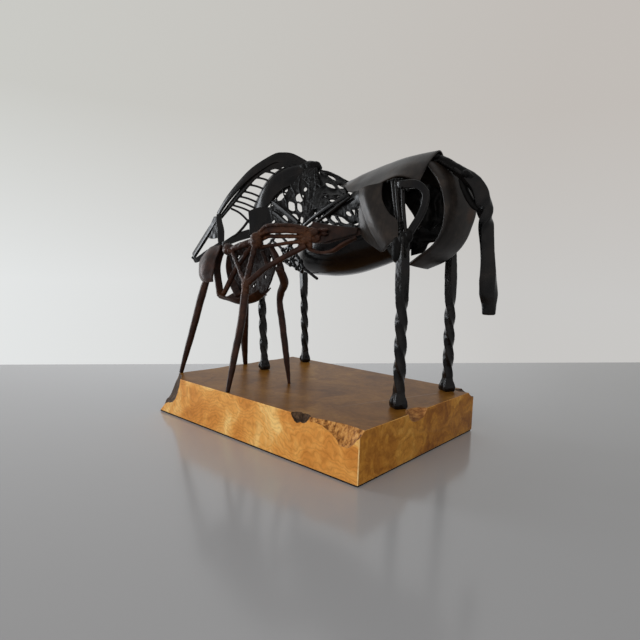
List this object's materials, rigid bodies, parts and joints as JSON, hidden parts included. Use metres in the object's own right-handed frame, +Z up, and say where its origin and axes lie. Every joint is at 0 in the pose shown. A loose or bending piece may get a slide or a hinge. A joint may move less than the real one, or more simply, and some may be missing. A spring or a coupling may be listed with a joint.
{
  "type": "metal horse sculpture",
  "caption": "Welded scrap-steel mare with her nursing foal, of bars, plates and open lattice, on a burl-wood slab with natural edges.",
  "frame": {"origin": "centre of the slab's underside", "axes": "+Z up; the mare faces -X; her near (left) side and the foal are towards -Y"},
  "size_m": [0.5181, 0.254, 0.3846],
  "materials": {
    "burl_wood": "satin lacquer over honey-orange burl, darker end grain, rough brown bark edges",
    "felt": "matt black felt",
    "mare_steel": "blackened, waxed steel with a satin sheen and brown-grey welds",
    "foal_steel": "red-brown patinated steel with orange rust at the welds"
  },
  "bodies": {
    "root": {"base_felt": "felt", "base_slab": "burl_wood", "foal_barrel_plate_right": "foal_steel", "foal_belly_plate": "foal_steel", "foal_brace_bar": "foal_steel", "foal_girth_strip": "foal_steel", "foal_head_plate": "foal_steel", "foal_jaw_strip": "foal_steel", "foal_leg_fore_left": "foal_steel", "foal_leg_fore_right": "foal_steel", "foal_leg_hind_left": "foal_steel", "foal_leg_hind_right": "foal_steel", "foal_neck_bar_low": "foal_steel", "foal_neck_bar_top": "foal_steel", "foal_poll_knot": "foal_steel", "foal_rear_hoop": "foal_steel", "foal_rear_hoop_right": "foal_steel", "foal_rump_plate": "foal_steel", "foal_shoulder_bar": "foal_steel", "foal_side_frame": "foal_steel", "mare_back_plate": "mare_steel", "mare_belly_plate": "mare_steel", "mare_breast_rods_left": "mare_steel", "mare_cheek_plate": "mare_steel", "mare_chest_plate": "mare_steel", "mare_crest_comb": "mare_steel", "mare_face_bar": "mare_steel", "mare_flank_plate_left": "mare_steel", "mare_flank_plate_left_inner": "mare_steel", "mare_flank_plate_right": "mare_steel", "mare_haunch_loop_left": "mare_steel", "mare_haunch_loop_right": "mare_steel", "mare_jaw_bar": "mare_steel", "mare_jowl_strip": "mare_steel", "mare_leg_fore_left": "mare_steel", "mare_leg_fore_right": "mare_steel", "mare_leg_hind_left": "mare_steel", "mare_leg_hind_right": "mare_steel", "mare_mane_strip": "mare_steel", "mare_neck_strip": "mare_steel", "mare_rib_lattice_left": "mare_steel", "mare_rib_lattice_right": "mare_steel", "mare_rump_band": "mare_steel", "mare_rump_scrap": "mare_steel", "mare_shoulder_bar_left": "mare_steel", "mare_shoulder_blade_left": "mare_steel", "mare_shoulder_gusset_left": "mare_steel", "mare_shoulder_lattice_left": "mare_steel", "mare_shoulder_lattice_right": "mare_steel", "mare_shoulder_rod_left": "mare_steel", "mare_shoulder_rod_right": "mare_steel", "mare_tail": "mare_steel", "mare_tail_root": "mare_steel", "mare_thigh_bar_left_1": "mare_steel", "mare_thigh_bar_left_2": "mare_steel", "mare_thigh_bar_left_3": "mare_steel", "mare_throat_bar": "mare_steel", "mare_throat_rod": "mare_steel", "mare_withers_knot": "mare_steel", "mare_withers_lattice_left": "mare_steel"}
  },
  "joints": []
}
